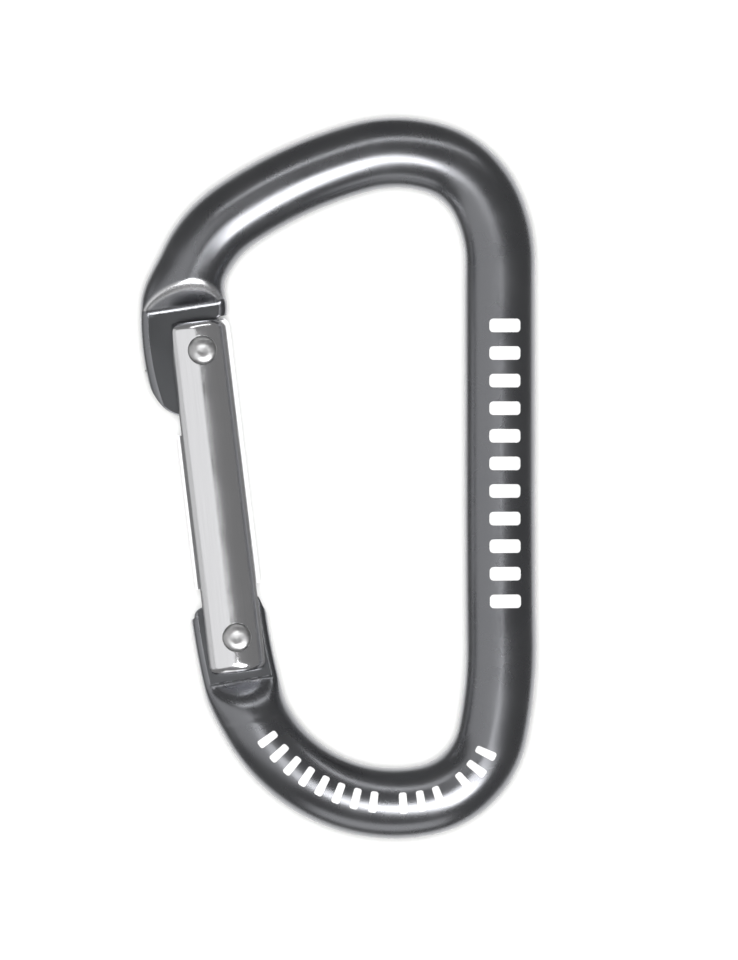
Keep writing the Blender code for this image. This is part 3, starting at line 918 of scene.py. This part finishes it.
def spring_wire(look):
    """Hard drawn steel wire: a dull bright grey with a slightly oily, uneven shine."""
    made, tree, place = start_material("spring_steel_drawn_wire")
    film = noise(tree, place, 0.6 * MM, 3.0, 0.6)
    end_material(
        tree,
        {
            "Metallic": 1.0,
            "Base Color": blend(tree, film, look.dark, look.light),
            "Roughness": remap(tree, film, 0.3, 0.7, 0.25, 0.42),
        },
    )
    return made


def pad_printed_ink(look):
    """White ink put on with a soft pad: matt, with a faint grain where it lies thin."""
    made, tree, place = start_material("white_ink_pad_printed")
    thin = noise(tree, place, 0.35 * MM, 3.0, 0.6)
    end_material(
        tree,
        {
            "Metallic": 0.0,
            "Base Color": blend(tree, thin, look.thin, look.full),
            "Roughness": 0.45,
            "IOR": 1.48,
            "Normal": bump(tree, thin, 0.2, 0.01 * MM),
        },
    )
    return made


def floor_paper(darker, paler):
    """Matt white paper, the smooth coated kind: an even pale floor with a faint mottle."""
    made, tree, place = start_material("white_paper_matt")
    mottle = noise(tree, place, 30 * MM, 2.0)
    end_material(tree, {"Roughness": 0.85, "Base Color": blend(tree, mottle, darker, paler)})
    return made


def glowing_wall(brightness):
    """A wall that glows with painted light, standing for matt paint in even, dim light. It adds no
    bounce of its own.
    """
    made, tree, _ = start_material("wall_glow_painted_light")
    glow = {"Emission Color": (1, 1, 1, 1), "Emission Strength": brightness}
    end_material(tree, {"Base Color": (0, 0, 0, 1), "Specular IOR Level": 0.0, **glow})
    return made


# Stage ---------------------------------------------------------------------------------


def add_softbox(name, place, aim, size, radiance):
    """A flat rectangular light that looks evenly bright, turned to face a point.

    It only shapes the shine of the metal. The floor has a light of its own.
    """
    lamp = bpy.data.lights.new(name, "AREA")
    lamp.shape = "RECTANGLE"
    lamp.size, lamp.size_y = size
    lamp.energy = radiance * math.pi * size[0] * size[1]
    made = bpy.data.objects.new(name, lamp)
    made.location = place
    made.rotation_euler = (Vector(aim) - Vector(place)).to_track_quat("-Z", "Y").to_euler()
    made.visible_diffuse = False
    bpy.context.scene.collection.objects.link(made)
    return made


def add_floor(look):
    """White paper. The metal shows the light under it instead, as if on a light table."""
    bm = bmesh.new()
    bmesh.ops.create_grid(bm, x_segments=8, y_segments=8, size=look.floor_size / 2)
    floor = as_object(bm, "floor")
    floor.data.materials.append(floor_paper(look.floor_colour, look.floor_pale))
    floor.visible_glossy = False
    floor.visible_shadow = False
    return floor


def add_lights(look):
    """Soft boxes left, in front, behind and below, a bright one above, and a light for the floor."""
    add_softbox("left_box", (-1.0, -0.15, 0.95), (0, 0, 0), (1.5, 2.3), look.left_box)
    add_softbox("low_box", (-1.6, -0.15, -0.26), (0, -0.15, -0.26), (1.5, 0.64), look.low_box)
    add_softbox("front_box", (-0.1, -1.8, 0.05), (0, 0, 0), (1.6, 0.9), look.front_box)
    bright = add_softbox("bright_box", (0.3, -0.56, 1.0), (0.3, -0.56, 0), (1.0, 0.42), look.bright_box)
    bright.rotation_euler = (0, 0, math.radians(-38))
    thin = add_softbox("thin_box", (0.5, 1.35, 1.0), (0.5, 1.35, 0), (2.5, 0.2), look.thin_box)
    thin.rotation_euler = (0, 0, math.radians(30))
    add_softbox("table_box", (0.25, -0.1, -1.0), (0.25, -0.1, 0), (2.4, 2.5), look.table_box)
    fill = bpy.data.lights.new("floor_fill", "SUN")
    fill.energy = look.fill
    fill.angle = math.radians(24)
    sky = bpy.data.objects.new("floor_fill", fill)
    sky.visible_glossy = False
    bpy.context.scene.collection.objects.link(sky)


def add_room(look):
    """A dim room for the metal to reflect. The camera sees a plain pale backdrop instead."""
    bm = bmesh.new()
    bmesh.ops.create_cube(bm, size=2 * look.floor_size)
    room = as_object(bm, "room")
    # The room's walls glow with painted light for the metal to reflect.
    room.data.materials.append(glowing_wall(look.room))
    room.visible_camera = False
    room.visible_shadow = False
    world = bpy.data.worlds.new("backdrop")
    world.use_nodes = True
    world.node_tree.nodes["Background"].inputs["Color"].default_value = look.backdrop
    bpy.context.scene.world = world
    world.cycles_visibility.diffuse = False
    world.cycles_visibility.glossy = False


def add_camera(look):
    """Straight down, without perspective."""
    lens = bpy.data.cameras.new("camera")
    lens.type = "ORTHO"
    lens.ortho_scale = look.view_height
    lens.clip_start = 0.01
    lens.clip_end = 10
    low, high = CAD_BOX
    centre = (low + high) / 2
    made = bpy.data.objects.new("camera", lens)
    made.location = (centre.x + look.view_right, centre.y + look.view_up, 0.4)
    bpy.context.scene.collection.objects.link(made)
    bpy.context.scene.camera = made


# Settings ------------------------------------------------------------------------------


def length(name, description, default):
    return bpy.props.FloatProperty(
        name=name, description=description, default=default, min=0.0, unit="LENGTH", precision=5
    )


def colour(name, description, code):
    return bpy.props.FloatVectorProperty(
        name=name, description=description, default=linear(code), size=4, min=0, max=1, subtype="COLOR"
    )


def amount(name, description, default):
    return bpy.props.FloatProperty(name=name, description=description, default=default, min=0.0)


class BarSettings(bpy.types.PropertyGroup):
    shoulder_round: length("Shoulder fillet", "Blend at the foot of each pressed shoulder", 0.35 * MM)
    nose_blend: length("Nose shoulder blend", "Rounding over the top of the nose shoulder", 0.7 * MM)
    hinge_blend: length("Hinge shoulder blend", "Rounding over the top of the hinge shoulder", 1.5 * MM)
    edge_round: length("Edge rounding", "Rounding of the punched edges", 0.16 * MM)
    dark: colour("Deep dye", "Where the dye took best", "#7f8084")
    light: colour("Light dye", "Where the dye took least", "#8a8b8e")
    # Painted highlight: the near white band along the nose shoulder's curved upper edge.
    edge_highlight: colour("Painted edge highlight", "A near white band painted along the nose shoulder's upper edge", "#e2e2e4")
    roughness: amount("Roughness", "Of the anodised surface", 0.28)
    # Painted shade: the darker colours of the level pressed faces.
    pressed_shaded_dark: colour("Pressed faces, darker painted shade", "Where the pressed faces are darkest", "#4a4b4d")
    pressed_shaded_light: colour("Pressed faces, lighter painted shade", "Where the pressed faces are lightest", "#535456")
    pressed_roughness: amount("Pressed roughness", "Of the pressed faces", 0.34)


class GateSettings(bpy.types.PropertyGroup):
    edge_round: length("Edge rounding", "Rounding of the slots and ends", 0.04 * MM)
    dark: colour("Deep lines", "In the polishing lines", "#ececee")
    light: colour("Polished metal", "Between the polishing lines", "#f8f8fa")
    roughness: amount("Roughness", "Of the polished metal", 0.16)


class SteelSettings(bpy.types.PropertyGroup):
    dimple: length("Dimple", "Depth of the dimple in each rivet head", 0.035 * MM)
    diameter: length("Plunger diameter", "The plunger's width in the gate's bore", 3.2 * MM)
    wire: length("Spring wire", "Diameter of the spring's wire", 0.5 * MM)
    turns: bpy.props.IntProperty(name="Spring turns", description="Turns of wire", default=8, min=1)
    dark: colour("Dull steel", "In the hollows", "#9b9b9c")
    light: colour("Bright steel", "On the high spots", "#c6c6c6")


class PrintSettings(bpy.types.PropertyGroup):
    spine_stroke: length("Spine stroke", "Width of each stroke on the spine", 1.5 * MM)
    bend_stroke: length("Bend stroke", "Width of each stroke round the bend", 0.9 * MM)
    thickness: length("Ink thickness", "How far the ink stands proud", 0.012 * MM)
    thin: colour("Thin ink", "Where the ink is thin", "#e6e6e6")
    full: colour("Full ink", "Where the ink is full", "#f7f7f7")


class StageSettings(bpy.types.PropertyGroup):
    floor_size: length("Floor size", "Side of the square floor", 8.0)
    floor_colour: colour("Floor colour", "The paper's darker tone", "#f6f6f5")
    floor_pale: colour("Pale floor colour", "The paper's paler tone", "#fbfbfa")
    view_height: length("View height", "What the camera takes in, top to bottom", 106.43 * MM)
    view_right: length("View right", "How far right of the middle the view is centred", 3.39 * MM)
    view_up: bpy.props.FloatProperty(
        name="View up",
        description="How far above the middle the view is centred",
        default=-0.23 * MM,
        unit="LENGTH",
        precision=5,
    )
    left_box: amount("Left box", "Brightness of the broad left light", 0.62)
    low_box: amount("Low box", "Brightness of the low light on the left", 0.4)
    front_box: amount("Front box", "Brightness of the low light in front", 0.9)
    bright_box: amount("Bright box", "Brightness of the main light", 8.0)
    thin_box: amount("Thin box", "Brightness of the long thin light", 3.6)
    table_box: amount("Table box", "Brightness of the light under the paper", 1.2)
    fill: amount("Floor fill", "Brightness of the even light on the floor", 3.6)
    room: amount("Room", "Brightness of the room that the metal reflects", 0.18)
    backdrop: colour("Backdrop", "What the camera sees beyond the floor", "#fbfbfa")


# Buttons -------------------------------------------------------------------------------


class CARABINER_OT_frame(bpy.types.Operator):
    """Build the bent bar with its pressed and punched ends"""

    bl_idname = "carabiner.frame"
    bl_label = "Frame"

    def execute(self, context):
        size = context.scene.carabiner_bar
        satin = anodised_aluminium(
            "anodised_aluminium_satin_grey", size.dark, size.light, size.edge_highlight, size.roughness
        )
        # The pressed copy: rougher, with darker colours that are painted shade.
        dull = anodised_aluminium(
            "anodised_aluminium_pressed_painted_shade",
            size.pressed_shaded_dark,
            size.pressed_shaded_light,
            size.edge_highlight,
            size.pressed_roughness,
        )
        piece = finish_piece(build_frame(size), "bent_bar", "frame", satin, ["frame"])
        piece.data.materials.append(dull)
        even_normals(piece)
        return {"FINISHED"}


class CARABINER_OT_gate(bpy.types.Operator):
    """Build the round gate with its slots, bore, holes and seats"""

    bl_idname = "carabiner.gate"
    bl_label = "Gate"

    def execute(self, context):
        size = context.scene.carabiner_gate
        metal = polished_aluminium(size)
        bm = build_gate(size)
        finish_piece(bm, "slotted_gate", "gate", metal, ["gate"], sharp=22)
        return {"FINISHED"}


class CARABINER_OT_rivets(bpy.types.Operator):
    """Build the hinge rivet and the latch rivet"""

    bl_idname = "carabiner.rivets"
    bl_label = "Rivets"

    def execute(self, context):
        size = context.scene.carabiner_steel
        steel = headed_steel(size)
        for name, node, place in (
            ("hinge_pin_rivet", "hinge_rivet", 0),
            ("latch_pin_rivet", "latch_rivet", PIN_SPAN),
        ):
            finish_piece(build_rivet(size, place), name, "gate", steel, [node], sharp=50)
        return {"FINISHED"}


class CARABINER_OT_plunger(bpy.types.Operator):
    """Build the plunger that rides on the hinge tongue's cam edge"""

    bl_idname = "carabiner.plunger"
    bl_label = "Plunger"

    def execute(self, context):
        size = context.scene.carabiner_steel
        steel = turned_steel(size)
        bm = build_plunger(size)
        finish_piece(bm, "cam_plunger", "plunger", steel, ["plunger"])
        return {"FINISHED"}


class CARABINER_OT_spring(bpy.types.Operator):
    """Wind the spring in the gate's bore"""

    bl_idname = "carabiner.spring"
    bl_label = "Spring"

    def execute(self, context):
        size = context.scene.carabiner_steel
        wire = spring_wire(size)
        bm = build_spring(size)
        piece = finish_piece(
            bm, "coil_spring", "gate", wire, ["gate_spring"], sharp=50
        )
        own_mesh(piece)
        return {"FINISHED"}


class CARABINER_OT_print(bpy.types.Operator):
    """Print the plain strokes on the spine and round the lower bend"""

    bl_idname = "carabiner.print"
    bl_label = "Printed strokes"

    def execute(self, context):
        size = context.scene.carabiner_print
        ink = pad_printed_ink(size)
        for name, bm in (
            ("spine_strokes", build_spine_print(size)),
            ("bend_strokes", build_bend_print(size)),
        ):
            finish_piece(bm, name, "frame", ink)
        return {"FINISHED"}


class CARABINER_OT_stage(bpy.types.Operator):
    """Set up the pale floor, the soft lights and the camera"""

    bl_idname = "carabiner.stage"
    bl_label = "Stage"

    def execute(self, context):
        look = context.scene.carabiner_stage
        add_floor(look)
        add_lights(look)
        add_room(look)
        add_camera(look)
        context.scene.view_settings.view_transform = "Standard"
        return {"FINISHED"}


class CARABINER_PT_build(bpy.types.Panel):
    """Lists the settings and the buttons that build each piece"""

    bl_idname = "CARABINER_PT_build"
    bl_label = "Carabiner"
    bl_space_type = "VIEW_3D"
    bl_region_type = "UI"
    bl_category = "Carabiner"

    def draw(self, context):
        for operators, group in PANEL_ROWS:
            box = self.layout.box()
            settings = getattr(context.scene, group)
            for name in settings.bl_rna.properties.keys():
                if name not in {"rna_type", "name"}:
                    box.prop(settings, name)
            for operator in operators:
                box.operator(operator.bl_idname)


SETTINGS = {
    "carabiner_bar": BarSettings,
    "carabiner_gate": GateSettings,
    "carabiner_steel": SteelSettings,
    "carabiner_print": PrintSettings,
    "carabiner_stage": StageSettings,
}
PANEL_ROWS = [
    ([CARABINER_OT_frame], "carabiner_bar"),
    ([CARABINER_OT_gate], "carabiner_gate"),
    ([CARABINER_OT_rivets, CARABINER_OT_plunger, CARABINER_OT_spring], "carabiner_steel"),
    ([CARABINER_OT_print], "carabiner_print"),
    ([CARABINER_OT_stage], "carabiner_stage"),
]
OPERATORS = [operator for operators, _ in PANEL_ROWS for operator in operators]


def register():
    for kind in [*SETTINGS.values(), *OPERATORS, CARABINER_PT_build]:
        bpy.utils.register_class(kind)
    for name, group in SETTINGS.items():
        setattr(bpy.types.Scene, name, bpy.props.PointerProperty(type=group))


def unregister():
    for name in SETTINGS:
        delattr(bpy.types.Scene, name)
    for kind in [CARABINER_PT_build, *reversed(OPERATORS), *SETTINGS.values()]:
        bpy.utils.unregister_class(kind)


def main():
    register()
    bpy.ops.carabiner.frame()
    bpy.ops.carabiner.gate()
    bpy.ops.carabiner.rivets()
    bpy.ops.carabiner.plunger()
    bpy.ops.carabiner.spring()
    bpy.ops.carabiner.print()
    bpy.ops.carabiner.stage()


if __name__ == "__main__":
    main()
